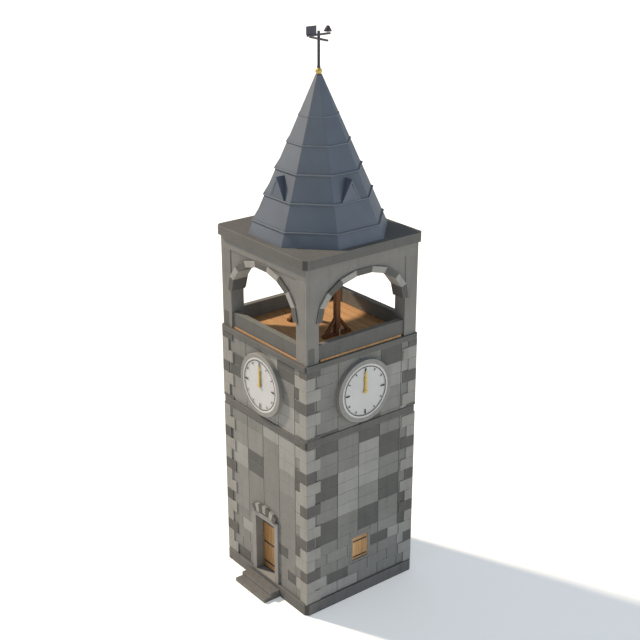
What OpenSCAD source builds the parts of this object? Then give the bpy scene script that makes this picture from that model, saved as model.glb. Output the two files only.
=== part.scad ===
// Clock tower of dressed stone: plinth, quoined shaft with a door and a shuttered
// window, a clock on every side, an open arched belfry with its bell, and an
// octagonal metal-clad spire with a weather vane. Millimetres, +Z up. The origin is on
// the ground under the middle of the tower; the door faces -Y, the window +X.

/* [Shaft] */
// Width of the belfry body across two opposite faces
tower_w = 4400; // [3800:10:5200]
// Width of the shaft across two opposite wall faces
shaft_w = 4380; // [3780:10:5180]
// Thickness of the shaft walls
wall_t = 600; // [450:10:700]
// Height of the ground floor and plinth above the ground
plinth_h = 400; // [300:10:520]
// Projection of the plinth beyond the wall face
plinth_out = 105; // [60:5:160]
// Chamfer down the corners of the plinth and of the cornice
corner_cut = 130; // [60:5:160]
// Height of one course of corner stones
course_h = 400; // [320:10:480]
// Long arm of a corner stone
quoin_long = 570; // [480:10:700]
// Short arm of a corner stone
quoin_short = 340; // [260:10:420]
// Projection of the corner stones from the wall face
quoin_out = 50; // [30:5:80]

/* [String courses] */
// Height above the ground of the underside of the lower string course
string_z = 6050; // [5600:10:6300]
// Depth of the lower string course
string_h = 240; // [180:10:280]
// Projection of the lower string course from the wall face
string_out = 60; // [55:5:110]
// Height above the ground of the top of the shaft walls
shaft_top = 8640; // [8500:10:9400]
// Depth of the string course under the belfry
belfry_string_h = 180; // [140:10:240]
// Projection of the string course under the belfry
belfry_string_out = 70; // [60:5:120]
// Chamfer down the corners of the string courses
string_cut = 75; // [30:5:90]

/* [Door] */
// Clear width between the stone jambs
door_w = 1034; // [860:2:1240]
// Clear height from the sill to the lintel
door_h = 2110; // [1900:10:2400]
// Width of a stone jamb on the face
jamb_w = 187; // [140:1:230]
// Height of the stone lintel
lintel_h = 190; // [150:10:240]
// Projection of the stone surround from the wall face
surround_out = 80; // [40:5:120]
// Depth of the reveal from the front of the surround to the leaf's stop
reveal_d = 312; // [250:2:360]
// Thickness of the boarded door leaf
leaf_t = 60; // [45:1:75]
// Lap of the leaf behind each stone jamb and behind the lintel
leaf_lap = 35; // [20:1:50]
// Number of wedge stones in the relieving arch over the lintel
fan_stones = 7; // [5:2:9]
// Depth of those wedge stones, from soffit to back
fan_h = 270; // [200:10:300]
// Radius of the curve under those wedge stones
fan_r = 1230; // [1100:10:1500]
// Height of the middle of that curve above the top of the lintel
fan_lift = 70; // [40:10:120]
// Projection of those wedge stones from the front of the surround
fan_out = 35; // [20:5:60]

/* [Steps] */
// Number of steps in front of the plinth
steps = 2; // [1:1:3]
// Width of the steps
step_w = 1670; // [1300:10:2000]
// Depth of each tread
going = 270; // [230:5:340]
// Depth of the top tread, from the plinth
landing = 365; // [300:5:500]

/* [Window] */
// Clear width of the window
window_w = 650; // [500:10:800]
// Clear height of the window
window_h = 830; // [700:10:1100]
// Height of the window sill above the ground
sill_z = 1320; // [1100:10:1600]
// Width of the stone surround round the opening
window_frame = 100; // [70:5:150]

/* [Clock] */
// Diameter of the dial, over its rim
dial_d = 1800; // [1500:10:2000]
// Width of the stone ring round the dial
ring_w = 145; // [100:5:180]
// Projection of the stone ring from the wall face
ring_out = 175; // [140:5:220]
// Height of the dial centre above the ground
clock_z = 7460; // [7350:10:7560]
// Reach of the minute hand from its centre
minute_reach = 720; // [560:10:780]
// Reach of the hour hand from its centre
hour_reach = 510; // [400:10:540]

/* [Belfry] */
// Thickness of the timber floor of the belfry
floor_t = 60; // [45:5:140]
// Side of a square corner pier
pier_w = 490; // [400:10:560]
// Height above the belfry floor's underside at which the arches spring
spring_h = 1290; // [1100:10:1450]
// Height above the springing of the underside of the frieze
arch_h = 1370; // [1200:10:1500]
// Depth of the frieze between the piers and the cornice
frieze_h = 400; // [300:10:500]
// Overhang of the arch stones inside each pier
arch_in = 95; // [60:5:130]
// Depth of the arch stones at the springing
stone_d = 211; // [160:1:240]
// Number of stones in each arch
arch_stones = 9; // [7:2:13]
// Projection of the arch stones from the pier face
arch_out = 40; // [20:5:70]
// Setting back of the spandrels from the pier face
spandrel_in = 28; // [15:1:50]
// Height of the parapets above the timber floor
parapet_h = 480; // [350:10:600]
// Thickness of the parapets
parapet_t = 200; // [150:10:260]
// Setting back of the parapets from the pier face
parapet_in = 55; // [30:5:90]
// Height of the cornice slab
cornice_h = 310; // [240:10:380]
// Projection of the cornice slab from the pier face
cornice_out = 118; // [80:2:180]

/* [Bell] */
// Distance of each trestle from the middle of the tower
trestle_x = 920; // [800:10:1050]
// Half length of a trestle's sole beam
sole_reach = 540; // [450:10:640]
// Side of the square trestle post
post_w = 165; // [130:5:200]
// Side of the sole beam and of the braces
brace_w = 100; // [80:5:120]
// Height above the floor at which the braces meet the post
brace_rise = 680; // [560:10:800]
// Diameter of the mouth of the bell
bell_d = 920; // [700:10:1000]

/* [Spire] */
// Width of the spire at its foot, across the flats
spire_w = 4180; // [3600:10:4280]
// Height of the spire from its foot to the point where its sides would meet
spire_h = 4990; // [4400:10:5600]
// Thickness of the spire's shell
spire_t = 120; // [80:5:160]
// Number of drip bands round the spire
bands = 5; // [3:1:6]
// Height of the lowest drip band above the foot of the spire
band_first = 404; // [300:5:500]
// Distance between drip bands
band_step = 794; // [600:2:850]
// Height of a drip band
band_h = 40; // [25:5:60]
// Projection of a drip band
band_out = 45; // [25:5:70]
// Width of a vent gablet
vent_w = 730; // [560:10:760]
// Height of a vent gablet
vent_h = 640; // [500:10:700]

/* [Vane] */
// Diameter of the gilded ball
ball_d = 210; // [160:5:260]
// Diameter of the vane rod
rod_d = 88; // [50:2:110]
// Height of the rod above the middle of the ball
rod_h = 1170; // [900:10:1400]
// Length of the pointer and of the cross bar
vane_l = 860; // [700:10:1000]
// Thickness of the bars
bar_t = 58; // [30:2:70]
// Length of the tail plate
tail_l = 380; // [300:10:420]
// Height of the tail plate
tail_h = 245; // [180:5:300]

/* [Hidden] */
$fn = 64;

// Colours
STONE = [0.45, 0.45, 0.43];
PALE_STONE = [0.58, 0.57, 0.54];
DARK_STONE = [0.38, 0.38, 0.36];
TIMBER = [0.68, 0.47, 0.28];
DARK_TIMBER = [0.30, 0.18, 0.09];
LEAD = [0.33, 0.36, 0.41];
IRON = [0.20, 0.20, 0.23];
GILT = [0.74, 0.61, 0.28];
DIAL_WHITE = [0.84, 0.83, 0.80];
BRONZE = [0.42, 0.33, 0.20];

// A gap that lets a pin or shaft turn in its bore, and one between moving pieces
pin_gap = 0.3;
swing_gap = 8;
// How far a cutting shape runs past what it cuts
past = 1;

// Faces of the building, in turn: front, right, rear and left
FACES = [0, 90, 180, 270];
tower_r = tower_w / 2;
wall_r = shaft_w / 2;
room_r = wall_r - wall_t;
surround_front = wall_r + surround_out;
door_top = plinth_h + door_h;
door_half = door_w / 2;
hole_half = door_half + jamb_w;
hole_top = door_top + lintel_h;
stop_y = surround_front - reveal_d;

// Door leaf and its hinges. The leaf opens inwards, on the left as it is entered.
leaf_gap = swing_gap;
leaf_y = -stop_y + leaf_gap;
leaf_half = door_half + leaf_lap;
leaf_z = plinth_h + 12;
leaf_top = door_top + leaf_lap;
frame_d = 120;
frame_half = leaf_half + leaf_gap;
knuckle_r = 17;
pin_r = 9;
pin_x = -leaf_half + 14;
pin_y = leaf_y + leaf_t + knuckle_r - 1;
ear_r = 13;
knuckle_h = 90;
ear_h = 14;
HINGE_Z = [for (share = [0.115, 0.475, 0.835]) plinth_h + share * door_h];
strap_h = 60;
strap_t = 8;

// Clock faces, measured outwards from the middle of the tower
ring_face = wall_r + ring_out;
dial_r = dial_d / 2;
dial_face = ring_face - 20;
rim_w = 45;
rim_out = 22;
hand_t = 10;
hand_hub_r = 74;
hour_stem = 60;
hour_blade = 84;
minute_stem = 34;
minute_blade = 46;
hand_gap = 12;
pipe_r = 30;
arbor_r = 15;
arbor_back = 120;
hour_face = dial_face + hand_gap;
minute_face = hour_face + hand_t + hand_gap;

// Belfry
belfry_z = shaft_top + belfry_string_h;
quoin_cover = 30; // how far the belfry string stands out past the corner stones at least
belfry_string_r = max(tower_r + belfry_string_out, wall_r + quoin_out + quoin_cover);
floor_z = belfry_z + floor_t;
spring_z = belfry_z + spring_h;
frieze_z = spring_z + arch_h;
belfry_top = frieze_z + frieze_h;
cornice_top = belfry_top + cornice_h;
pier_in = tower_r - pier_w;
arch_step = 180 / arch_stones;
ring_in_a = pier_in - arch_in;
ring_out_a = ring_in_a + stone_d;
// The top stone is flat, with its back against the frieze
ring_out_b = arch_h / cos(arch_step / 2);
ring_in_b = ring_out_b - stone_d * 0.95;

// Bell and frame
headstock_w = 180;
headstock_z = frieze_z - headstock_w - 20;
bell_h = bell_d * 0.8;
bell_z = headstock_z - bell_h - 60;

// Spire and vane
spire_r = spire_w / 2;
spire_tip = cornice_top + spire_h;
spire_slope = spire_r / spire_h;
ball_z = spire_tip - 130;
spire_cut = ball_z - ball_d / 2 + 12;
rod_top = ball_z + rod_h;
pointer_z = rod_top - 110;
cross_z = pointer_z - 122;
sleeve_z = pointer_z - 70;
spindle_r = 20;
vent_z = cornice_top + band_first + band_step + band_h;
vent_front = (spire_tip - vent_z) * spire_slope + band_out - 4;

// Half the width of the spire's body at a height, over the flats
function spire_at(z) = (spire_tip - z) * spire_slope;

// A point on an arch of given half span and rise, at an angle from the springing
function on_arch(a, b, angle) = [a * cos(angle), b * sin(angle)];

// Turns what is drawn on the front face round to another face
module on_face(turn) {
    rotate([0, 0, turn]) rotate([90, 0, 0]) children();
}

// A square slab or block with its four upright corners cut off
module cut_square(half, cut, z, h) {
    translate([0, 0, z]) linear_extrude(h) polygon([
        [half - cut, -half], [half, cut - half], [half, half - cut], [half - cut, half],
        [cut - half, half], [-half, half - cut], [-half, cut - half], [cut - half, -half]]);
}

// A square course that runs round the tower
module square_ring(half, cut, inner, z, h) {
    difference() {
        cut_square(half, cut, z, h);
        translate([-inner, -inner, z - past]) cube([2 * inner, 2 * inner, h + 2 * past]);
    }
}

// A box given by its two corners
module block(low, high) {
    translate(low) cube(high - low);
}

// --- Foot of the tower ---
module plinth() {
    color(DARK_STONE) square_ring(wall_r + plinth_out, corner_cut, room_r, 0, plinth_h);
}

module door_steps() {
    rise = plinth_h / (steps + 1);
    face = wall_r + plinth_out;
    color(DARK_STONE) for (i = [1 : steps]) {
        out = landing + going * (steps - i);
        block([-step_w / 2, -face - out, 0], [step_w / 2, -face, rise * i]);
    }
}

module ground_floor() {
    color(STONE) block([-room_r, -room_r, 0], [room_r, room_r, plinth_h]);
}

// --- Shaft walls ---
module front_wall_side(side) {
    low = side < 0 ? -wall_r : hole_half;
    high = side < 0 ? -hole_half : wall_r;
    color(STONE) block([low, -wall_r, plinth_h], [high, -room_r, shaft_top]);
}

module front_wall_left() {
    front_wall_side(-1);
}

module front_wall_right() {
    front_wall_side(1);
}

module front_wall_over_door() {
    color(STONE) block([-hole_half, -wall_r, hole_top], [hole_half, -room_r, shaft_top]);
}

module rear_wall() {
    color(STONE) block([-wall_r, room_r, plinth_h], [wall_r, wall_r, shaft_top]);
}

module left_wall() {
    color(STONE) block([-wall_r, -room_r, plinth_h], [-room_r, room_r, shaft_top]);
}

module right_wall() {
    frame = window_w / 2 + window_frame;
    color(STONE) difference() {
        block([room_r, -room_r, plinth_h], [wall_r, room_r, shaft_top]);
        block([room_r - past, -frame, sill_z - window_frame],
            [wall_r + past, frame, sill_z + window_h + window_frame]);
    }
}

// Corner stones, laid with the long arm to alternate sides. They are a skin on the wall.
module corner_stone(long_on_x, z, h) {
    on_x = long_on_x ? quoin_long : quoin_short;
    on_y = long_on_x ? quoin_short : quoin_long;
    out = wall_r + quoin_out;
    difference() {
        block([out - on_x, out - on_y, z], [out, out, z + h]);
        block([-out, -out, z - past], [wall_r, wall_r, z + h + past]);
    }
}

module quoins() {
    string_top = string_z + string_h;
    color(PALE_STONE) for (turn = FACES) rotate([0, 0, turn]) {
        for (z = [plinth_h : course_h : shaft_top - past]) {
            n = round((z - plinth_h) / course_h);
            top = min(z + course_h, shaft_top);
            if (z < string_z) corner_stone(n % 2 == 0, z, min(top, string_z) - z);
            if (top > string_top) corner_stone(n % 2 == 0, max(z, string_top), top - max(z, string_top));
        }
    }
}

// Where a big clock ring reaches a string course, the course stops at the ring
module clear_of_clocks() {
    difference() {
        children();
        for (turn = FACES) on_face(turn) translate([0, clock_z, wall_r - past])
            cylinder(h = ring_out + 2 * past, r = dial_r + ring_w + pin_gap);
    }
}

module lower_string() {
    color(DARK_STONE) clear_of_clocks()
        square_ring(wall_r + string_out, string_cut, wall_r, string_z, string_h);
}

module belfry_string() {
    color(DARK_STONE) clear_of_clocks()
        square_ring(belfry_string_r, string_cut, room_r, shaft_top, belfry_string_h);
}

// --- Doorway ---
module door_surround() {
    color(PALE_STONE) difference() {
        block([-hole_half, -surround_front, plinth_h], [hole_half, -stop_y, hole_top]);
        block([-door_half, -surround_front - past, plinth_h - past],
            [door_half, -stop_y + past, door_top]);
    }
}

// Wedge stones that fan out over the lintel, proud of the wall
module door_arch() {
    fan_inset = 145;
    joint_angle = 0.6;
    reach = asin((hole_half - fan_inset) / fan_r);
    stone_angle = 2 * reach / fan_stones;
    color(PALE_STONE) difference() {
        translate([0, -wall_r, hole_top + fan_lift - fan_r]) rotate([90, 0, 0])
            linear_extrude(surround_out + fan_out) for (i = [0 : fan_stones - 1]) {
                a = 90 - reach + stone_angle * i + joint_angle / 2;
                b = a + stone_angle - joint_angle;
                polygon([fan_r * [cos(a), sin(a)], (fan_r + fan_h) * [cos(a), sin(a)],
                    (fan_r + fan_h) * [cos(b), sin(b)], fan_r * [cos(b), sin(b)]]);
            }
        block([-hole_half, -surround_front, plinth_h], [hole_half, -stop_y, hole_top]);
    }
}

// Timber posts and head behind the stone jambs, with the hinge pins
module door_frame() {
    frame_top = leaf_top + leaf_gap;
    color(DARK_TIMBER) {
        for (side = [-1, 1]) {
            x0 = side < 0 ? -hole_half : frame_half;
            block([x0, -stop_y, plinth_h], [x0 + hole_half - frame_half, -stop_y + frame_d, hole_top]);
        }
        block([-frame_half, -stop_y, frame_top], [frame_half, -stop_y + frame_d, hole_top]);
    }
    color(IRON) for (z = HINGE_Z) {
        for (ear_z = [z - knuckle_h / 2 - 1 - ear_h, z + knuckle_h / 2 + 1]) {
            translate([pin_x, pin_y, ear_z]) cylinder(h = ear_h, r = ear_r);
            block([-frame_half - past, pin_y - 6, ear_z], [pin_x, pin_y + 10, ear_z + ear_h]);
        }
        translate([pin_x, pin_y, z - knuckle_h / 2 - 2])
            cylinder(h = knuckle_h + 4, r = pin_r - pin_gap);
    }
}

module door_leaf() {
    color(TIMBER) block([-leaf_half, leaf_y, leaf_z], [leaf_half, leaf_y + leaf_t, leaf_top]);
    color(IRON) for (z = HINGE_Z) {
        block([-door_half + 24, leaf_y - strap_t, z - strap_h / 2],
            [door_half * 0.84, leaf_y, z + strap_h / 2]);
        translate([pin_x, pin_y, z - knuckle_h / 2]) difference() {
            cylinder(h = knuckle_h, r = knuckle_r);
            translate([0, 0, -past]) cylinder(h = knuckle_h + 2 * past, r = pin_r);
        }
    }
}

// --- Window ---
module window_surround() {
    half = window_w / 2;
    front = wall_r + 20;
    sill_front = wall_r + 50;
    sill_back = wall_r - 60;
    sill_lap = 20;
    sill_h = 40;
    color(PALE_STONE) {
        difference() {
            block([room_r, -half - window_frame, sill_z - window_frame],
                [front, half + window_frame, sill_z + window_h + window_frame]);
            block([room_r - past, -half, sill_z], [front + past, half, sill_z + window_h]);
        }
        block([sill_back, -half - sill_lap, sill_z - sill_h],
            [sill_front, half + sill_lap, sill_z]);
    }
}

module window_shutter() {
    half = window_w / 2;
    back = wall_r - 50;
    front = wall_r - 5;
    strap_out = 6;
    strap_in = 30;
    strap_half = 25;
    color(TIMBER) block([back, -half, sill_z], [front, half, sill_z + window_h]);
    color(IRON) for (share = [0.12, 0.82]) {
        z = sill_z + share * window_h;
        block([front, -half + strap_in, z - strap_half],
            [front + strap_out, half - strap_in, z + strap_half]);
    }
}

// --- Clocks ---
module clock_surrounds() {
    color(PALE_STONE) for (turn = FACES) on_face(turn) translate([0, clock_z, wall_r])
        difference() {
            cylinder(h = ring_out, r = dial_r + ring_w);
            translate([0, 0, -past]) cylinder(h = ring_out + 2 * past, r = dial_r);
        }
}

module clock_dials() {
    color(DIAL_WHITE) for (turn = FACES) on_face(turn) translate([0, clock_z, 0])
        difference() {
            union() {
                translate([0, 0, wall_r]) cylinder(h = dial_face - wall_r, r = dial_r);
                translate([0, 0, dial_face - past]) difference() {
                    cylinder(h = rim_out + past, r = dial_r);
                    translate([0, 0, -past]) cylinder(h = rim_out + 4 * past, r = dial_r - rim_w);
                }
            }
            translate([0, 0, dial_face - arbor_back - 10])
                cylinder(h = arbor_back + 20, r = pipe_r + pin_gap);
        }
}

// A flat hand that points up, with a hub, a tail and a broad blade near its tip
module hand_outline(reach, stem, blade) {
    shoulder = 0.75;
    widest = 0.83;
    circle(r = hand_hub_r);
    polygon([[-stem, 0], [-stem, reach * shoulder], [-blade, reach * widest], [0, reach],
        [blade, reach * widest], [stem, reach * shoulder], [stem, 0]]);
}

module hour_hand(turn) {
    color(GILT) on_face(turn) translate([0, clock_z, 0]) difference() {
        union() {
            translate([0, 0, hour_face]) linear_extrude(hand_t)
                hand_outline(hour_reach, hour_stem, hour_blade);
            translate([0, 0, dial_face - arbor_back])
                cylinder(h = hour_face + hand_t - dial_face + arbor_back, r = pipe_r);
        }
        translate([0, 0, dial_face - arbor_back - past])
            cylinder(h = arbor_back + 3 * hand_t + hand_gap, r = arbor_r + pin_gap);
    }
}

module minute_hand(turn) {
    color(GILT) on_face(turn) translate([0, clock_z, 0]) {
        translate([0, 0, minute_face]) linear_extrude(hand_t)
            hand_outline(minute_reach, minute_stem, minute_blade);
        translate([0, 0, dial_face - arbor_back])
            cylinder(h = minute_face + hand_t / 2 - dial_face + arbor_back, r = arbor_r);
        translate([0, 0, minute_face + hand_t - past]) cylinder(h = 14 + past, r = 34);
    }
}

module hour_hand_front() {
    hour_hand(FACES[0]);
}

module hour_hand_right() {
    hour_hand(FACES[1]);
}

module hour_hand_rear() {
    hour_hand(FACES[2]);
}

module hour_hand_left() {
    hour_hand(FACES[3]);
}

module minute_hand_front() {
    minute_hand(FACES[0]);
}

module minute_hand_right() {
    minute_hand(FACES[1]);
}

module minute_hand_rear() {
    minute_hand(FACES[2]);
}

module minute_hand_left() {
    minute_hand(FACES[3]);
}

// --- Belfry ---
module belfry_floor() {
    edge = tower_r - parapet_in + 15;
    color(TIMBER) difference() {
        block([-edge, -edge, belfry_z], [edge, edge, floor_z]);
        for (x = [-1, 1], y = [-1, 1]) {
            centre = [x * (pier_in + tower_r) / 2, y * (pier_in + tower_r) / 2];
            translate([centre.x - pier_w / 2, centre.y - pier_w / 2, belfry_z - past])
                cube([pier_w, pier_w, floor_t + 2 * past]);
        }
    }
}

module corner_piers() {
    color(STONE) for (x = [-tower_r, pier_in], y = [-tower_r, pier_in])
        block([x, y, belfry_z], [x + pier_w, y + pier_w, frieze_z]);
}

module parapets() {
    color(STONE) for (turn = FACES) rotate([0, 0, turn])
        block([-pier_in, -tower_r + parapet_in, floor_z],
            [pier_in, -tower_r + parapet_in + parapet_t, floor_z + parapet_h]);
}

// Straight-sided outline of an arch, from springing to springing
module arch_outline(a, b) {
    polygon([for (i = [0 : arch_stones]) on_arch(a, b, arch_step * i)]);
}

module arch_rings() {
    depth = pier_w;
    color(PALE_STONE) for (turn = FACES) on_face(turn) {
        translate([0, spring_z, tower_r - depth]) linear_extrude(depth) intersection() {
            difference() {
                arch_outline(ring_out_a, ring_out_b);
                arch_outline(ring_in_a, ring_in_b);
            }
            translate([-pier_in, -past]) square([2 * pier_in, arch_h + past]);
        }
        translate([0, spring_z, tower_r]) linear_extrude(arch_out) difference() {
            arch_outline(ring_out_a, ring_out_b);
            arch_outline(ring_in_a, ring_in_b);
        }
    }
}

module spandrels() {
    depth = pier_w - 2 * spandrel_in;
    color(STONE) for (turn = FACES) on_face(turn)
        translate([0, spring_z, tower_r - spandrel_in - depth]) linear_extrude(depth)
            difference() {
                translate([-pier_in, 0]) square([2 * pier_in, arch_h]);
                arch_outline(ring_out_a, ring_out_b);
            }
}

module frieze() {
    color(STONE) square_ring(tower_r, past, pier_in, frieze_z, frieze_h);
}

// --- Bell ---
module trestle(side) {
    x = side * trestle_x;
    color(DARK_TIMBER) {
        block([x - post_w / 2, -post_w / 2, floor_z], [x + post_w / 2, post_w / 2, headstock_z]);
        block([x - post_w / 2 + 10, -sole_reach, floor_z],
            [x + post_w / 2 - 10, sole_reach, floor_z + brace_w]);
        for (way = [-1, 1])
            translate([x - brace_w / 2, 0, floor_z]) rotate([90, 0, 90]) linear_extrude(brace_w)
                polygon([[way * (sole_reach - 10), brace_w / 2], [way * post_w / 4, brace_rise],
                    [way * post_w / 4, brace_rise - brace_w * 1.4],
                    [way * (sole_reach - brace_w * 1.3), brace_w / 2]]);
    }
}

module bell_frame_left() {
    trestle(-1);
}

module bell_frame_right() {
    trestle(1);
}

module headstock() {
    reach = trestle_x + post_w / 2 + 60;
    color(DARK_TIMBER) block([-reach, -headstock_w / 2, headstock_z],
        [reach, headstock_w / 2, headstock_z + headstock_w]);
}

// Half the section of the bell's wall, as shares of the mouth radius and of the height
module bell_half() {
    r = bell_d / 2;
    polygon([[r, 0], [r * 0.94, bell_h * 0.08], [r * 0.78, bell_h * 0.24], [r * 0.63, bell_h * 0.5],
        [r * 0.55, bell_h * 0.82], [r * 0.44, bell_h * 0.94], [r * 0.2, bell_h],
        [0, bell_h], [0, bell_h * 0.92], [r * 0.36, bell_h * 0.87], [r * 0.46, bell_h * 0.78],
        [r * 0.54, bell_h * 0.5], [r * 0.68, bell_h * 0.24], [r * 0.86, 0]]);
}

module bell() {
    crown_r = 70;
    crown_lap = 10;
    clapper_r = 18;
    clapper_drop = 20;
    ball_r = 75;
    ball_up = 60;
    color(BRONZE) translate([0, 0, bell_z]) {
        rotate_extrude() bell_half();
        translate([0, 0, bell_h - crown_lap])
            cylinder(h = headstock_z - bell_z - bell_h + crown_lap, r = crown_r);
        translate([0, 0, -clapper_drop]) cylinder(h = bell_h * 0.95 + clapper_drop, r = clapper_r);
        translate([0, 0, ball_up]) sphere(r = ball_r);
    }
}

// --- Roof ---
module cornice() {
    color(DARK_STONE) cut_square(tower_r + cornice_out, corner_cut, belfry_top, cornice_h);
}

// An eight-sided spire with flats parallel to the tower's faces
module eight_sided(r_low, r_high, z, h) {
    translate([0, 0, z]) rotate([0, 0, 22.5])
        cylinder(h = h, r1 = r_low / cos(22.5), r2 = r_high / cos(22.5), $fn = 8);
}

module spire_body(inset, top) {
    foot = cornice_top - (inset > 0 ? past : 0);
    eight_sided(spire_at(foot) - inset, spire_at(top) - inset, foot, top - foot);
}

module spire_shell() {
    color(LEAD) difference() {
        spire_body(0, spire_cut);
        spire_body(spire_t, spire_tip - (spire_t + 40) / spire_slope);
    }
}

module spire_bands() {
    color(LEAD) for (i = [0 : bands - 1]) {
        z = cornice_top + band_first + band_step * i;
        r = spire_at(z) + band_out;
        difference() {
            eight_sided(r, r, z, band_h);
            spire_body(0, spire_cut);
        }
    }
}

// Gablets that stand on the second band, each with a recessed panel
module spire_vents() {
    deep = vent_front - spire_at(vent_z + vent_h) + 100;
    frame = 50;
    recess = 30;
    side_frame = 110;
    top_frame = 150;
    color(LEAD) for (turn = FACES) on_face(turn) difference() {
        translate([0, vent_z, vent_front - deep]) linear_extrude(deep)
            polygon([[-vent_w / 2, 0], [0, vent_h], [vent_w / 2, 0]]);
        translate([0, vent_z + frame, vent_front - recess]) linear_extrude(2 * recess)
            polygon([[-vent_w / 2 + side_frame, 0], [0, vent_h - top_frame],
                [vent_w / 2 - side_frame, 0]]);
        rotate([-90, 0, 0]) spire_body(0, spire_cut);
    }
}

// --- Vane ---
module finial_ball() {
    color(GILT) difference() {
        translate([0, 0, ball_z]) sphere(r = ball_d / 2);
        spire_body(0, spire_cut);
        translate([0, 0, ball_z]) cylinder(h = ball_d, r = rod_d / 2);
    }
}

module vane_rod() {
    color(IRON) {
        translate([0, 0, ball_z]) cylinder(h = sleeve_z - 6 - ball_z, r = rod_d / 2);
        translate([0, 0, ball_z]) cylinder(h = rod_top - 20 - ball_z, r = spindle_r);
        block([-vane_l / 2, -bar_t / 2, cross_z - bar_t / 2], [vane_l / 2, bar_t / 2, cross_z + bar_t / 2]);
    }
}

module vane_pointer() {
    tail_end = vane_l / 2 + 35;
    tail_t = 16;
    stem_l = 90;
    stem_r = 12;
    head_y = vane_l / 2 - stem_l;
    head_up = 65;
    head_l = 165;
    head_r = 124;
    head_tip_r = 52;
    cap = 18;
    color(IRON) difference() {
        union() {
            translate([0, 0, sleeve_z]) cylinder(h = rod_top - sleeve_z, r = rod_d / 2);
            block([-bar_t / 2, -vane_l / 2, pointer_z - bar_t / 2],
                [bar_t / 2, vane_l / 2, pointer_z + bar_t / 2]);
            block([-tail_t / 2, -tail_end, pointer_z + bar_t / 2 - past],
                [tail_t / 2, -tail_end + tail_l, pointer_z + bar_t / 2 + tail_h]);
            translate([0, head_y, pointer_z]) cylinder(h = stem_l, r = stem_r);
            translate([0, head_y, pointer_z + head_up])
                cylinder(h = head_l, r1 = head_r, r2 = head_tip_r);
        }
        translate([0, 0, sleeve_z - past])
            cylinder(h = rod_top - sleeve_z - cap, r = spindle_r + pin_gap);
    }
}

plinth();
door_steps();
ground_floor();
front_wall_left();
front_wall_right();
front_wall_over_door();
rear_wall();
left_wall();
right_wall();
quoins();
lower_string();
belfry_string();
door_surround();
door_arch();
door_frame();
door_leaf();
window_surround();
window_shutter();
clock_surrounds();
clock_dials();
hour_hand_front();
hour_hand_right();
hour_hand_rear();
hour_hand_left();
minute_hand_front();
minute_hand_right();
minute_hand_rear();
minute_hand_left();
belfry_floor();
corner_piers();
parapets();
arch_rings();
spandrels();
frieze();
bell_frame_left();
bell_frame_right();
headstock();
bell();
cornice();
spire_shell();
spire_bands();
spire_vents();
finial_ball();
vane_rod();
vane_pointer();
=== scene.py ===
# %% [markdown]
# # A clock tower in grey stone
# The tower is a square stone shaft with a door and a shuttered window, a clock on each
# side, an open arched belfry with its bell, and an eight-sided spire of painted sheet with
# a weather vane.

# %% Load the frame
import math
import random

import bmesh
import bpy
from mathutils import Matrix, Vector


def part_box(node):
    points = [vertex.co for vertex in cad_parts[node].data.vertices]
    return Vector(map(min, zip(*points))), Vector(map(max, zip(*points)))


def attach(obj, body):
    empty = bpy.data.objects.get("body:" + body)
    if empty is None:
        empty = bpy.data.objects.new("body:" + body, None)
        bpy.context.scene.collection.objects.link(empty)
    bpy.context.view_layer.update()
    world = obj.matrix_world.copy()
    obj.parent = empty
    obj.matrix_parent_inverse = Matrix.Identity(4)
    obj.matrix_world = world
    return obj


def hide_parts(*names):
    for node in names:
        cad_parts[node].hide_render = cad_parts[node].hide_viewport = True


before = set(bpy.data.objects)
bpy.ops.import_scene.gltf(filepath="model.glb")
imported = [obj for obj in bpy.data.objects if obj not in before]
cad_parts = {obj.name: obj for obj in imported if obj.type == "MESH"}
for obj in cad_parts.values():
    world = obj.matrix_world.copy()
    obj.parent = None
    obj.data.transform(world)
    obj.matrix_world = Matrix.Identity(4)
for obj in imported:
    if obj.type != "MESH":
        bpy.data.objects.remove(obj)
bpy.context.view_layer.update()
draw = random.Random(7)

# %% [markdown]
# ## Sizes
# Every place comes from the boxes of the frame's own parts. If the tower is made wider or
# taller later, the stones and boards follow. Only what the boxes don't tell, such as the
# width of a joint or the depth of an arch stone, gets a number of its own.

# %% Sizes read from the frame
def low(node):
    """The lowest corner of a part of the frame."""
    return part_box(node)[0]


def high(node):
    """The highest corner of a part of the frame."""
    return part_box(node)[1]


tower_r = high("corner_piers").x
wall_r = high("rear_wall").y
plinth_top = high("plinth").z
wall_top = high("rear_wall").z
string_low = low("lower_string").z
string_top = high("lower_string").z
quoin_r = high("quoins").x
pier_low = low("corner_piers").z
spring = low("arch_rings").z
arch_rise = high("arch_rings").z - spring
arch_face = high("arch_rings").x
floor_low = low("belfry_floor").z
floor_top = high("belfry_floor").z
floor_edge = high("belfry_floor").x
clock_z = (low("clock_surrounds").z + high("clock_surrounds").z) / 2
PIER = 0.49
SIDES = [math.radians(turn) for turn in (0, 90, 180, 270)]
print("shaft", round(2 * wall_r, 2), "m wide, walls up to", round(wall_top, 2), "m")

# %% [markdown]
# ## Small helpers
# The first adds a node with its settings and links, in a material or in Geometry Nodes
# alike. The second turns a hex colour, which is how paint and stone colours are given,
# into the linear light that Blender works in. The others close a mesh that was being
# edited, put an object in the scene, and set a finished mesh on a body.

# %% Helpers
def add(tree, kind, inputs=None, **settings):
    """Adds one node. An input is a plain value, or another node's output to link."""
    made = tree.nodes.new(kind)
    for name, value in settings.items():
        setattr(made, name, value)
    for name, value in (inputs or {}).items():
        if isinstance(value, bpy.types.NodeSocket):
            tree.links.new(value, made.inputs[name])
        else:
            made.inputs[name].default_value = value
    return made


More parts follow.
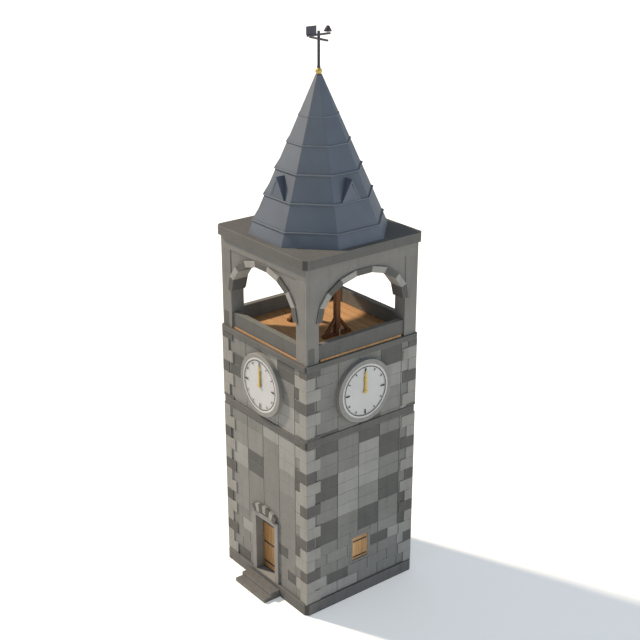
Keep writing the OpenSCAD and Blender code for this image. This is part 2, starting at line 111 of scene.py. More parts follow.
def linear(hex_colour):
    """A hex sRGB colour as linear red, green, blue and alpha."""
    parts = [int(hex_colour[i:i + 2], 16) / 255 for i in (1, 3, 5)]
    light = [c / 12.92 if c <= 0.04045 else ((c + 0.055) / 1.055) ** 2.4 for c in parts]
    return (*light, 1.0)


def mesh_of(shape, name):
    """The plain mesh of an edited shape, which is then freed."""
    mesh = bpy.data.meshes.new(name)
    shape.to_mesh(mesh)
    shape.free()
    return mesh


def placed(name, data):
    """A new object of a mesh, a light or a camera, in the scene."""
    made = bpy.data.objects.new(name, data)
    bpy.context.scene.collection.objects.link(made)
    return made


def piece(name, mesh, replaces=(), body="tower"):
    """A new object that rides on a body and may stand for parts of the frame."""
    made = placed(name, mesh)
    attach(made, body)
    if replaces:
        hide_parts(*replaces)
    print(name, "has", len(mesh.polygons), "faces and rides on", body)
    return made


print("half-way grey #808080 is", round(linear("#808080")[0], 3), "in linear light")


# %% [markdown]
# ## Stone
# The walls are a grey building stone, sawn and lightly tooled, so a block is nearly flat
# with a fine grain. Its colour changes from block to block more than inside a block.
# Each block carries a number called `tone`, and the material turns that number into one of
# a few greys. Over that lie a soft blotch about 0.6 m across, streaks that rain has drawn
# down the wall, and a grain of a few millimetres, drawn here at 20 mm so that it shows.
# A second number, `wear`, is 1 on the narrow faces along each edge. Handling and weather
# take the dark skin off there first, so those faces are a little paler.

# %% Nodes that every finish uses
def finish(name, roughness, metallic=0.0, specular=0.5):
    """A new material: its tree, its shader and the place on the object."""
    made = bpy.data.materials.new(name)
    made.use_nodes = True
    tree = made.node_tree
    shader = tree.nodes["Principled BSDF"]
    shader.inputs["Roughness"].default_value = roughness
    shader.inputs["Metallic"].default_value = metallic
    shader.inputs["Specular IOR Level"].default_value = specular
    return made, tree, shader, add(tree, "ShaderNodeTexCoord").outputs["Object"]


def ramp_of(tree, value, shades, steps=False):
    """A colour ramp whose hex shades are spread evenly, blended or in steps."""
    ramp = add(tree, "ShaderNodeValToRGB", {"Fac": value})
    ramp.color_ramp.interpolation = "CONSTANT" if steps else "LINEAR"
    stops = ramp.color_ramp.elements
    while len(stops) < len(shades):
        stops.new(1.0)
    for i, shade in enumerate(shades):
        stops[i].position = i / len(shades) if steps else i / max(len(shades) - 1, 1)
        stops[i].color = linear(shade)
    return ramp.outputs["Color"]


def noise_of(tree, place, sizes, low_to, high_to, start=0.3, end=0.7, detail=4.0):
    """Noise from one number to another, its patches of a size in mm along x, y and z."""
    scale = [1000 / size for size in sizes]
    run = add(tree, "ShaderNodeMapping", {"Vector": place, "Scale": scale})
    noise = add(tree, "ShaderNodeTexNoise", {
        "Vector": run.outputs["Vector"], "Scale": 1.0, "Detail": detail})
    spread = add(tree, "ShaderNodeMapRange", {
        "Value": noise.outputs["Fac"], "From Min": start, "From Max": end,
        "To Min": low_to, "To Max": high_to})
    return spread.outputs["Result"]


def dress(tree, shader, colour, height, strength, depth):
    """Joins a colour and a relief of a depth in metres to the shader."""
    bump = add(tree, "ShaderNodeBump", {
        "Height": height, "Strength": strength, "Distance": depth})
    tree.links.new(colour, shader.inputs["Base Color"])
    tree.links.new(bump.outputs[0], shader.inputs["Normal"])


def worn_colour(tree, colour, pale):
    """Mixes in a paler colour where `wear` marks an edge."""
    wear = add(tree, "ShaderNodeAttribute", attribute_name="wear").outputs["Fac"]
    share = add(tree, "ShaderNodeMath", {0: wear, 1: 0.45}, operation="MULTIPLY")
    mixed = add(tree, "ShaderNodeMix", {
        "Factor": share.outputs[0], "A": colour, "B": linear(pale)}, data_type="RGBA")
    return mixed.outputs["Result"]


print("a patch of 625 mm is a noise scale of", 1000 / 625)

# %% Stone finish
BLOTCH, GRAIN, TOOLING = 625, 20, 71.4
STREAK_WIDE, STREAK_LONG = 166.7, 2000


def stone_finish(name, shades, streaks=0.12, relief=0.35, pale="#a5a39b"):
    """Grey stone. Shades run from dark to light, picked by each block's tone."""
    made, tree, shader, place = finish(name, 0.88, specular=0.25)
    tone = add(tree, "ShaderNodeAttribute", attribute_name="tone").outputs["Fac"]
    colour = worn_colour(tree, ramp_of(tree, tone, shades, steps=True), pale)
    shade = noise_of(tree, place, [BLOTCH] * 3, 0.93, 1.06)
    streak = noise_of(tree, place, (STREAK_WIDE, STREAK_WIDE, STREAK_LONG), 1.0, 1 - streaks,
        0.5, 0.75)
    for other in (streak, noise_of(tree, place, [GRAIN] * 3, 0.95, 1.05)):
        shade = add(tree, "ShaderNodeMath", {0: shade, 1: other},
            operation="MULTIPLY").outputs[0]
    shaded = add(tree, "ShaderNodeVectorMath", {0: colour, "Scale": shade}, operation="SCALE")
    tooled = noise_of(tree, place, [TOOLING] * 3, 0.0, 1.0, detail=7.0)
    dress(tree, shader, shaded.outputs[0], tooled, relief, 0.008)
    return made


print("stone: blotches", BLOTCH, "mm, grain", GRAIN, "mm, streaks", STREAK_WIDE, "mm wide")

# %% The stones of the tower
# The wall is sawn grey sandstone. Five greys in the bed give it its patchwork.
wall_stone = stone_finish("sawn grey building stone",
    ["#575856", "#747572", "#747572", "#7b7c79", "#8a8b88"])
# Corner and arch stones are dressed smoother, in two beds laid dark and light in turn.
corner_stone = stone_finish("dressed corner stone", ["#585856", "#888884"])
arch_stone = stone_finish("dressed arch stone", ["#555553", "#8c8c88"])
# The belfry is rubbed ashlar: one even grey, with hardly a joint to see.
plain_stone = stone_finish("rubbed belfry stone", ["#737370"])
# The oldest course, stained by a century of rain at the foot of the piers.
base_stone = stone_finish("dark base stone of a pier", ["#5b5b58"])
# Strings and cornice throw off the rain and have gone dark. Their corner blocks get the darkest
# grey as painted shade, for corner facets that the fill light hardly reaches, and the inner
# faces of the parapets get the palest grey as painted light, which lifts the shade under the
# belfry roof.
dark_stone = stone_finish("dark string and cornice stone", ["#484847", "#5c5c5a", "#74746f"],
    pale="#7c7c76")
# The plinth and steps are splashed from the ground, so rain streaks show most. The plinth's
# darkest grey is painted shade on its corner blocks.
plinth_stone = stone_finish("dark plinth stone", ["#484847", "#60605e", "#666664"],
    streaks=0.2, pale="#7c7c76")
# Surrounds and the clock rings are paler freestone, rubbed smooth.
pale_stone = stone_finish("rubbed pale surround stone", ["#828280"])
# The sill and the floor inside are pale flags. The sill's paleness is partly painted light,
# standing in for the sun across the doorway.
sill_stone = stone_finish("pale floor flag with painted sunlight", ["#868684"], streaks=0.0)
# Lime mortar, set back and in shade, reads as a dark line.
mortar = stone_finish("lime mortar in the joints", ["#3c3c3a"], pale="#3c3c3a")
print("stone finishes:", ", ".join(made.name for made in bpy.data.materials))

# %% [markdown]
# ## Timber
# Softwood boards and oak beams differ in colour, but both show grain that runs along the
# piece: noise squeezed across the board and drawn out along it. Real grain lines are 2 or
# 3 mm apart, too fine to see from here, so they are drawn ten times as coarse. The board's
# own `tone` makes each one a little lighter or darker, as boards from different trees are.

# %% Wood finish
GRAIN_WIDE, GRAIN_LONG = 26.3, 714


def wood_finish(name, shades, along, roughness=0.7):
    """Sawn wood whose grain runs along axis 0, 1 or 2."""
    made, tree, shader, place = finish(name, roughness, specular=0.3)
    sizes = [GRAIN_WIDE] * 3
    sizes[along] = GRAIN_LONG
    grain = noise_of(tree, place, sizes, 0.0, 1.0, detail=6.0)
    tone = add(tree, "ShaderNodeAttribute", attribute_name="tone").outputs["Fac"]
    mixed = add(tree, "ShaderNodeMath", {0: grain, 1: tone}, operation="ADD")
    half = add(tree, "ShaderNodeMath", {0: mixed.outputs[0], 1: 0.5}, operation="MULTIPLY")
    colour = worn_colour(tree, ramp_of(tree, half.outputs[0], shades), shades[-1])
    dress(tree, shader, colour, grain, 0.3, 0.004)
    return made


# Sawn softwood worn by feet: pale, with soft contrast between the boards.
floor_board = wood_finish("sawn softwood floor boards", ["#a67a4e", "#bd9263", "#c9a071"], 0)
# Oiled softwood. The oil brings out the dark grain. The door is darker than the shutter, which
# the sun has bleached, and its boards differ more from one to the next: both are partly painted
# shade, standing in for the shade inside the deep doorway.
door_board = wood_finish("oiled softwood door boards", ["#624628", "#977245", "#c39c68"], 2)
shutter_board = wood_finish("bleached softwood shutter boards",
    ["#80603a", "#b08a5d", "#d2ae80"], 2)
# Old oak, stained dark and dry: a red-brown with little shine.
oak = wood_finish("dark oak of the bell frame", ["#53321c", "#70482a", "#845a3a"], 2)
oak_beam = wood_finish("dark oak headstock", ["#53321c", "#70482a", "#845a3a"], 0)
print("grain is", GRAIN_WIDE, "mm across and runs on for", GRAIN_LONG, "mm")

# %% [markdown]
# ## Metals, enamel and sheet
# The spire is clad in blue-grey painted sheet, dull and a little cloudy. Straps and the
# vane are painted iron, the hands and the ball are gilded, the bell is browned bronze,
# and the dials are off-white enamel. They share one shape of material, so they share one
# function: a colour, a cloud of a second colour of a size in mm, and the shine. Spangles
# and hammer marks are really 10 or 20 mm wide and are drawn larger, so that they show.

# %% Coated finish
def coated_finish(name, shades, size, roughness, metallic=0.0, relief=0.1, pale=None):
    """A metal or coating with soft clouds of colour, of a size in millimetres."""
    made, tree, shader, place = finish(name, roughness, metallic)
    cloud = noise_of(tree, place, [size] * 3, 0.0, 1.0, detail=6.0)
    colour = worn_colour(tree, ramp_of(tree, cloud, shades), pale or shades[-1])
    dress(tree, shader, colour, cloud, relief, 0.01)
    return made


print("finishes so far:", len(bpy.data.materials))

# %% Metals and enamels
# Painted zinc sheet: dull, with clouds where the paint has chalked.
sheet_metal = coated_finish("blue-grey painted roof sheet", ["#4e5763", "#545f6b"], 800, 0.62)
# The same sheet folded out as a drip, a little paler and greyer. The paleness is partly painted
# highlight, so that the sunlit tops of the drips read as a pale line.
drip_metal = coated_finish("painted sheet drip with painted highlight", ["#565f6a", "#606871"], 300, 0.65)
# Gablet roofs have a darker, thicker coat.
dark_sheet = coated_finish("dark painted gablet sheet", ["#424a58", "#4a5261"], 400, 0.6)
# Forged iron in black paint: nearly black, with a soft sheen on the hammer marks.
iron = coated_finish("black painted wrought iron", ["#1f1f24", "#2b2b31"], 60, 0.55, 0.4)
# Paint on the vane has faded to a blue black.
vane_iron = coated_finish("blue-black painted vane iron", ["#343440", "#3d3d4a"], 200, 0.5, 0.2)
# Gold leaf laid on size over copper: yellow, broken up, never a mirror.
gold_leaf = coated_finish("gold leaf on copper", ["#a58e48", "#c4ac60"], 100, 0.45, 0.35)
# Cast bronze gone brown in the air, still a metal underneath.
bronze = coated_finish("browned bell bronze", ["#4b4632", "#6b5430"], 250, 0.45, 0.9)
# Glass enamel fired on copper sheet: smooth and even, its turned rim a clean white.
enamel = coated_finish("off-white enamelled dial", ["#abaeae", "#b1b4b4"], 700, 0.4,
    relief=0.02, pale="#e6e6e2")
# The same enamel in black, for the painted bars and the ring.
black_enamel = coated_finish("black enamelled marks", ["#1c1d1d", "#242525"], 100, 0.45)
# Hot-dip zinc, new beside the old oak: pale grey with small spangles.
galvanised = coated_finish("galvanised foot strap", ["#b5aea0", "#cdc7ba"], 50, 0.5, 0.3)
print("finishes with metals and enamels:", len(bpy.data.materials))

# %% [markdown]
# ## Laying stones with Geometry Nodes
# A wall is one shape of block laid hundreds of times, so it is made as a mason works:
# first the blocks are cut, then each goes to its place. A mesh of loose points says where
# each block goes, with its turn and its tone as attributes. One node tree puts a block on
# every point. The same tree lays boards, voussoirs and nails.

# %% The laying tree
def new_tree(name, inputs):
    """A node group with named inputs and one geometry output. Returns tree and inputs."""
    tree = bpy.data.node_groups.new(name, "GeometryNodeTree")
    for label, kind in inputs:
        tree.interface.new_socket(label, in_out="INPUT", socket_type="NodeSocket" + kind)
    tree.interface.new_socket("Laid", in_out="OUTPUT", socket_type="NodeSocketGeometry")
    return tree, add(tree, "NodeGroupInput")


def close_tree(tree, given, points, turn):
    """Ends a tree: a block on every point, turned, made real and given its material."""
    block = add(tree, "GeometryNodeObjectInfo", {"Object": given.outputs["Block"]})
    turned = add(tree, "FunctionNodeEulerToRotation", {"Euler": turn})
    laid = add(tree, "GeometryNodeInstanceOnPoints", {
        "Points": points, "Instance": block.outputs["Geometry"],
        "Rotation": turned.outputs["Rotation"]})
    real = add(tree, "GeometryNodeRealizeInstances", {"Geometry": laid.outputs["Instances"]})
    finished = add(tree, "GeometryNodeSetMaterial", {
        "Geometry": real.outputs["Geometry"], "Material": given.outputs["Material"]})
    add(tree, "NodeGroupOutput", {"Laid": finished.outputs["Geometry"]})
    return tree


def laying_tree():
    """Puts one block on every point, turned as the point says."""
    tree, given = new_tree("Lay blocks", [
        ("Points", "Geometry"), ("Block", "Object"), ("Material", "Material")])
    turn = add(tree, "GeometryNodeInputNamedAttribute", {"Name": "turn"},
        data_type="FLOAT_VECTOR")
    return close_tree(tree, given, given.outputs["Points"], turn.outputs["Attribute"])


LAY = laying_tree()
print("the laying tree has", len(LAY.nodes), "nodes")

# %% Laying and joining
def run_tree(tree, base, settings):
    """Runs a tree on a mesh with its inputs set, and returns the plain mesh it gives."""
    holder = placed("holder", base)
    modifier = holder.modifiers.new("run", "NODES")
    modifier.node_group = tree
    for item in tree.interface.items_tree:
        if item.name in settings:
            modifier[item.identifier] = settings[item.name]
    graph = bpy.context.evaluated_depsgraph_get()
    made = bpy.data.meshes.new_from_object(holder.evaluated_get(graph), depsgraph=graph)
    bpy.data.objects.remove(holder)
    return made


def lay(block_mesh, places, material):
    """Lays a block at each (position, turn, tone). The result is one mesh."""
    points = bpy.data.meshes.new("points")
    points.from_pydata([position for position, _, _ in places], [], [])
    points.attributes.new("turn", "FLOAT_VECTOR", "POINT")
    points.attributes.new("tone", "FLOAT", "POINT")
    for i, (_, turn, tone) in enumerate(places):
        points.attributes["turn"].data[i].vector = turn
        points.attributes["tone"].data[i].value = tone
    block = bpy.data.objects.new("block", block_mesh)
    laid = run_tree(LAY, points, {"Block": block, "Material": material})
    bpy.data.objects.remove(block)
    return laid


def join(meshes):
    """One mesh from several, with their materials, tones and wear kept."""
    parts = [placed("part", mesh) for mesh in meshes]
    if len(parts) > 1:
        with bpy.context.temp_override(active_object=parts[0], selected_editable_objects=parts):
            bpy.ops.object.join()
    whole = parts[0].data
    bpy.data.objects.remove(parts[0])
    return whole


MIDDLE, DARK, LIGHT = 0.5, 0.25, 0.75
UNTURNED = (0, 0, 0)
print("tones: dark", DARK, "middle", MIDDLE, "light", LIGHT)

# %% [markdown]
# ## Cutting a block
# A cut stone has crisp edges, but never knife edges. A narrow chamfer catches the light
# and is what makes a joint read from far away. The outline is drawn flat, extruded, and
# then every edge is bevelled by the same few millimetres.

# %% Blocks
def prism(outline, depth, chamfer, name="block"):
    """An outline in x and z, extruded from y = 0 to y = -depth, with bevelled edges."""
    shape = bmesh.new()
    wear = shape.faces.layers.float.new("wear")
    back = [shape.verts.new((x, 0, z)) for x, z in outline]
    front = [shape.verts.new((x, -depth, z)) for x, z in outline]
    shape.faces.new(back)
    shape.faces.new(front)
    for i in range(len(outline)):
        j = (i + 1) % len(outline)
        shape.faces.new((back[i], back[j], front[j], front[i]))
    bmesh.ops.recalc_face_normals(shape, faces=shape.faces[:])
    if chamfer:
        cut = bmesh.ops.bevel(shape, geom=shape.edges[:], offset=chamfer, segments=1,
            affect="EDGES", profile=0.5, clamp_overlap=True)
        for face in cut["faces"]:
            face[wear] = 1.0
    return mesh_of(shape, name)


def block(length, height, depth, chamfer):
    """A block centred on x and z, with its back at y = 0 and its face at y = -depth."""
    x, z = length / 2, height / 2
    return prism([(-x, -z), (x, -z), (x, z), (-x, z)], depth, chamfer)


def standing(mesh):
    """Turns a prism so that its outline lies in x and y and its depth runs up from 0."""
    mesh.transform(Matrix.Rotation(math.radians(-90), 4, "X"))
    return mesh


print("a bevelled block has", len(block(0.8, 0.4, 0.02, 0.005).polygons), "faces")

# %% Turned shapes and places
def spun(section, sides, name):
    """A section of (radius, height) points turned round the z axis. It starts and ends on
    the axis, or ends where it starts, so that the skin is closed."""
    shape = bmesh.new()
    rows = []
    for radius, z in section[:-1] if section[0] == section[-1] else section:
        if radius < 1e-6:
            rows.append([shape.verts.new((0, 0, z))])
        else:
            rows.append([shape.verts.new((radius * math.cos(math.tau * i / sides),
                radius * math.sin(math.tau * i / sides), z)) for i in range(sides)])
    if section[0] == section[-1]:
        rows.append(rows[0])
    for a, b in zip(rows, rows[1:]):
        for i in range(sides):
            j = (i + 1) % sides
            corners = [a[i % len(a)], a[j % len(a)], b[j % len(b)], b[i % len(b)]]
            corners = list(dict.fromkeys(corners))
            if len(corners) > 2:
                shape.faces.new(corners)
    bmesh.ops.recalc_face_normals(shape, faces=shape.faces[:])
    for face in shape.faces:
        face.smooth = True
    return mesh_of(shape, name)


def on_side(turn, across, out, up):
    """A point on a side of the tower: across to the right, out from the middle, and up."""
    return Matrix.Rotation(turn, 3, "Z") @ Vector((across, -out, up))


def each_side(across, out, up, tone=MIDDLE):
    """The same place on all four sides of the tower, ready for lay()."""
    return [(on_side(turn, across, out, up), (0, 0, turn), tone) for turn in SIDES]


print("clock on the right:", [round(c, 2) for c in on_side(SIDES[1], 0, wall_r, clock_z)])

# %% [markdown]
# ## The walls
# The blocks are 0.40 m high, as the corner stones are, and about 0.86 m long. Near the
# ground they are laid in a running bond, each course shifted by half a block. Higher up
# they stand in columns, and two courses together share one colour. A dark block never has
# another dark one beside or under it. A block that meets the door or the window is cut to
# fit round it.

# %% Wall stones
COURSE = 0.40
LENGTH = 0.857
UPRIGHT_JOINT, BED_JOINT = 0.020, 0.006
FIRST_JOINT = -0.10
COLUMNS, STAGGERED = 7, 5
PROUD, SUNK = 0.016, 0.004
SLIVER, NARROWEST = 0.04, 0.05
DARKEST, NEXT_SHADE = 0.2, 0.3


def around(rect, hole):
    """What is left of a rectangle (left, low, right, high) when a hole is cut out."""
    left, bottom, right, top = rect
    if right <= hole[0] or left >= hole[2] or top <= hole[1] or bottom >= hole[3]:
        return [rect]
    inner_left, inner_right = max(left, hole[0]), min(right, hole[2])
    parts = [(left, bottom, inner_left, top), (inner_right, bottom, right, top),
        (inner_left, hole[3], inner_right, top), (inner_left, bottom, inner_right, hole[1])]
    return [part for part in parts if min(part[2] - part[0], part[3] - part[1]) > SLIVER]


def wall_blocks(hole):
    """The blocks of one wall, each as its rectangle and tone."""
    found, tones = [], {}
    for course in range(math.ceil((wall_top - plinth_top) / COURSE)):
        running = course < STAGGERED
        start = FIRST_JOINT - 3 * LENGTH + (LENGTH / 2 if running and course % 2 else 0)
        bottom = plinth_top + course * COURSE
        top = min(bottom + COURSE, wall_top)
        for column in range(COLUMNS):
            key = (course if running else STAGGERED + (course + 1) // 2, column)
            if key not in tones:
                tone = draw.random()
                beside = (tones.get((key[0], column - 1)), tones.get((key[0] - 1, column)))
                if any(near is not None and near < DARKEST for near in beside):
                    tone = max(tone, NEXT_SHADE)
                tones[key] = tone
            tone = tones[key]
            left = max(start + column * LENGTH, -wall_r)
            right = min(start + (column + 1) * LENGTH, wall_r)
            if right - left > NARROWEST:
                rect = (left, bottom, right, top)
                found += [(part, tone) for part in (around(rect, hole) if hole else [rect])]
    return found


print("courses of", COURSE, "m, and", STAGGERED, "of them in running bond")

# %% Lay the walls
door_low, door_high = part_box("door_surround")
window_low, window_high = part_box("window_surround")
holes = [(door_low.x, 0.0, door_high.x, door_high.z),
    (window_low.y, window_low.z, window_high.y, window_high.z), None, None]
by_size = {}
for turn, hole in zip(SIDES, holes):
    for (left, bottom, right, top), tone in wall_blocks(hole):
        size = (round(right - left - UPRIGHT_JOINT, 3), round(top - bottom - BED_JOINT, 3))
        middle = on_side(turn, (left + right) / 2, wall_r - SUNK, (bottom + top) / 2)
        by_size.setdefault(size, []).append((middle, (0, 0, turn), tone))
walls = [lay(block(width, height, PROUD + SUNK, 0.005), places, wall_stone)
    for (width, height), places in by_size.items()]
piece("wall_stones", join(walls))
print("wall stones", sum(map(len, by_size.values())), "in", len(by_size), "sizes")

# %% [markdown]
# ## Corner stones
# Each corner stone is an L in plan, long on one face and short on the other, and the
# next one is turned over so that they bond. Two stones are light and the third is dark,
# all the way up. The L is an outline too, but it is stood up and extruded upwards.

# %% Corner stones
LONG, SHORT = 0.57, 0.34


def corner_block(on_x, on_y, height):
    """An L-shaped stone round the +x +y corner, standing on z = 0."""
    out, back = quoin_r, wall_r - 0.01
    return standing(prism([(out - on_x, back), (back, back), (back, out - on_y),
        (out, out - on_y), (out, out), (out - on_x, out)], height, 0.007))


by_shape = {}
for number in range(math.ceil((wall_top - plinth_top) / COURSE)):
    bottom = plinth_top + number * COURSE
    top = min(bottom + COURSE, wall_top)
    for start, end in ((bottom, min(top, string_low)), (max(bottom, string_top), top)):
        if end - start > 0.03:
            places = by_shape.setdefault((number % 2 == 0, round(end - start, 3)), [])
            places += each_side(0, 0, start, DARK if number % 3 == 2 else LIGHT)
corners = []
for (long_on_x, height), places in by_shape.items():
    arms = (LONG, SHORT) if long_on_x else (SHORT, LONG)
    corners.append(lay(corner_block(*arms, height - BED_JOINT), places, corner_stone))
piece("corner_stones", join(corners), ["quoins"])
print("corner stones", sum(map(len, by_shape.values())))

# %% [markdown]
# ## Arch stones
# Each belfry arch is nine wedge stones on an ellipse, dark and light in turn. A wedge
# shows on the face, where it stands a little proud, and on the underside of the arch,
# where it goes right through the wall. All nine differ, because an ellipse is tighter at
# its ends, but the four arches are alike, so each wedge is laid four times.

# %% Belfry arches
ARCH_STONES = 9
STONE_DEPTH = 0.211
ARCH_IN = 0.095
inner_face = tower_r - PIER
step = math.pi / ARCH_STONES
outer_a = inner_face - ARCH_IN + STONE_DEPTH
outer_b = arch_rise / math.cos(step / 2)
inner_a, inner_b = outer_a - STONE_DEPTH, outer_b - STONE_DEPTH * 0.95


def wedge(number, limit, gap):
    """The corners of an arch stone in x and z, kept within a half width of the arch."""
    first, last = number * step + gap, (number + 1) * step - gap
    corners = [(outer_a, outer_b, first), (outer_a, outer_b, last), (inner_a, inner_b, last),
        (inner_a, inner_b, first)]
    return [(max(-limit, min(limit, a * math.cos(angle))), b * math.sin(angle))
        for a, b, angle in corners]


stones = []
for number in range(ARCH_STONES):
    face = prism(wedge(number, 9.0, 0.003), arch_face - tower_r + 0.02, 0.006)
    face.transform(Matrix.Translation((0, -tower_r + 0.02, spring)))
    under = prism(wedge(number, inner_face, 0.0), PIER - 0.001, 0.005)
    under.transform(Matrix.Translation((0, -inner_face, spring)))
    stone = join([face, under])
    stones.append(lay(stone, each_side(0, 0, 0, LIGHT if number % 2 else DARK), arch_stone))
piece("arch_stones", join(stones), ["arch_rings"])

# %% [markdown]
# ## Worn copies of the plain parts
# Piers, strings, surrounds and beams already have the right shape, but a solid from CAD
# has perfect edges. A copy is merged, its triangles are joined back into whole faces, and
# its sharp edges get a small round. The new narrow faces are marked as worn.

# %% Worn copies
def worn(node, width, material, tones=None, body="tower", sharp=25):
    """A copy of a part with rounded edges. Tones gives a tone from a separate part's place."""
    shape = bmesh.new()
    shape.from_mesh(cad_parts[node].data)
    wear = shape.faces.layers.float.new("wear")
    tone = shape.faces.layers.float.new("tone")
    bmesh.ops.remove_doubles(shape, verts=shape.verts[:], dist=0.0002)
    bmesh.ops.dissolve_limit(shape, angle_limit=math.radians(1), verts=shape.verts[:],
        edges=shape.edges[:])
    edges = [edge for edge in shape.edges
        if edge.is_manifold and edge.calc_face_angle(0) > math.radians(sharp)]
    cut = bmesh.ops.bevel(shape, geom=edges, offset=width, segments=2, profile=0.5,
        affect="EDGES", clamp_overlap=True)
    for face in cut["faces"]:
        face[wear] = 1.0
    for face in shape.faces:
        face[tone] = tones(face.calc_center_median()) if tones else MIDDLE
        face.smooth = True
    mesh = mesh_of(shape, node)
    mesh.set_sharp_from_angle(angle=math.radians(20))
    mesh.materials.clear()
    mesh.materials.append(material)
    return piece(node + "_worn", mesh, [node], body)


print("parts in the frame:", len(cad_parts))

# %% Tones by place
FAN_RADIUS, FAN_HALF, FAN_STEP = 1.35, 26.9, 7.7
parapet_middle = high("parapets").x - 0.05


def corner_shade_tone(place):
    """Painted shade: darker blocks at the four corners of a moulding, where the corner facets
    get little of the fill light.
    """
    return 0.1 if min(abs(place.x), abs(place.y)) > 1.5 else MIDDLE


def parapet_lit_tone(place):
    """Painted light: paler inner faces, which lifts the shade that the belfry roof casts
    inside.
    """
    return 0.9 if max(abs(place.x), abs(place.y)) < parapet_middle else MIDDLE


def fan_tone(place):
    """Dark and light in turn across the seven stones of the fan over the door."""
    reach = math.degrees(math.asin(place.x / FAN_RADIUS)) + FAN_HALF
    return LIGHT if int(reach // FAN_STEP) % 2 else DARK


print("seven fan stones spread over", round(2 * FAN_HALF), "degrees")

# %% Round the edges of each part
# The corner tone paints shade on the corner blocks of the plinth, the strings and the cornice.
worn("plinth", 0.018, plinth_stone, tones=corner_shade_tone)
worn("door_steps", 0.014, plinth_stone, tones=lambda place: 0.9)
worn("lower_string", 0.012, dark_stone, tones=corner_shade_tone)
worn("belfry_string", 0.014, dark_stone, tones=corner_shade_tone)
worn("door_surround", 0.010, pale_stone)
worn("door_arch", 0.008, arch_stone, tones=fan_tone)
worn("window_surround", 0.008, plain_stone)
worn("clock_surrounds", 0.016, pale_stone, sharp=40)
worn("corner_piers", 0.010, plain_stone)
# Painted light: the parapets' inner faces take the palest grey.
worn("parapets", 0.012, dark_stone, tones=parapet_lit_tone)
worn("spandrels", 0.004, plain_stone)
worn("frieze", 0.010, plain_stone)
worn("cornice", 0.016, dark_stone, tones=corner_shade_tone)
posts = worn("door_frame", 0.004, oak, sharp=40)
posts.data.materials.append(iron)
leaf_corner = high("door_leaf")
# The pins and their ears were made with the frame, on its hinge side. They are iron.
for face in posts.data.polygons:
    if -leaf_corner.x - 0.002 < face.center.x < 0 and face.center.z < leaf_corner.z:
        face.material_index = 1
worn("bell_frame_left", 0.008, oak)
worn("bell_frame_right", 0.008, oak)
worn("headstock", 0.010, oak_beam)
worn("spire_shell", 0.003, sheet_metal)
drips = worn("spire_bands", 0.015, drip_metal)
worn("clock_dials", 0.018, enamel, sharp=40)
for side in ("front", "right", "rear", "left"):
    for hand in ("hour", "minute"):
        worn(f"{hand}_hand_{side}", 0.0025, gold_leaf, body=f"{hand}_{side}", sharp=40)

# %% [markdown]
# ## Slimmer drips near the top
# The drips shed rain, and there is less of it to shed near the point, so the two highest
# stand out less than the lower three. Each corner of a high drip is pulled in towards the
# spire by a share of how far it stands out.

# %% Slimmer drips
DRIP_SHARES = [1, 1, 1, 0.65, 0.35]
DRIP_STEP, HALF_DRIP = 0.794, 0.02
shell_low, shell_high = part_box("spire_shell")
top_r = max(v.co.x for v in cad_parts["spire_shell"].data.vertices
    if v.co.z > shell_high.z - 0.001)
slope = (shell_high.x - top_r) / (shell_high.z - shell_low.z)
first = low("spire_bands").z + HALF_DRIP
for v in drips.data.vertices:
    number = round((v.co.z - first) / DRIP_STEP)
    surface = shell_high.x - (v.co.z - shell_low.z) * slope
    across, along = abs(v.co.x), abs(v.co.y)
    reach = max(across, along, (across + along) / math.sqrt(2))
    if reach > surface:
        share = (surface + (reach - surface) * DRIP_SHARES[number]) / reach
        v.co.x, v.co.y = v.co.x * share, v.co.y * share
print("spire slopes", round(slope, 3), "m in for each metre up")

# %% [markdown]
# ## Base stones of the piers
# One pier on each side shows a dark block at its foot, part of an older course that was
# kept when the belfry was built. It stands only a few millimetres out of the face.

# %% Pier base stones
base = block(0.25, 0.50, 0.012, 0.004)
places = each_side(-2.0, tower_r - SUNK, pier_low + 0.28)
piece("pier_base_stones", lay(base, places, base_stone))

# %% [markdown]
# ## The belfry floor
# The floor is of thick softwood boards, laid side by side from left to right. Between the
# piers they reach out to the edge, where a thin line of end grain shows under the
# parapet. Beyond the piers' inner faces they are cut short to pass between the piers.

# %% Floor boards
BOARD, FLOOR_GAP = 0.18, 0.004
count = round(2 * floor_edge / BOARD)
pitch = 2 * floor_edge / count
boards = {}
for i in range(count):
    y = -floor_edge + (i + 0.5) * pitch
    half = floor_edge if abs(y) + pitch / 2 < inner_face else inner_face - FLOOR_GAP
    boards.setdefault(half, []).append(((0, y, floor_low), UNTURNED, draw.random()))
floor = []
for half, places in boards.items():
    w = (pitch - FLOOR_GAP) / 2
    plank = standing(prism([(-half, -w), (half, -w), (half, w), (-half, w)],
        floor_top - floor_low, 0.004))
    floor.append(lay(plank, places, floor_board))
piece("floor_boards", join(floor), ["belfry_floor"])
print("floor boards", count)

# %% [markdown]
# ## The door
# The leaf is of upright boards held by three iron straps. The boards are laid side by side
# like the floor, each strap is nailed through all of them but the last, and the knuckles
# of the hinges stay on the pins. Boards and iron ride on the door, so they swing with it.
# The sill under the leaf stays on the tower.

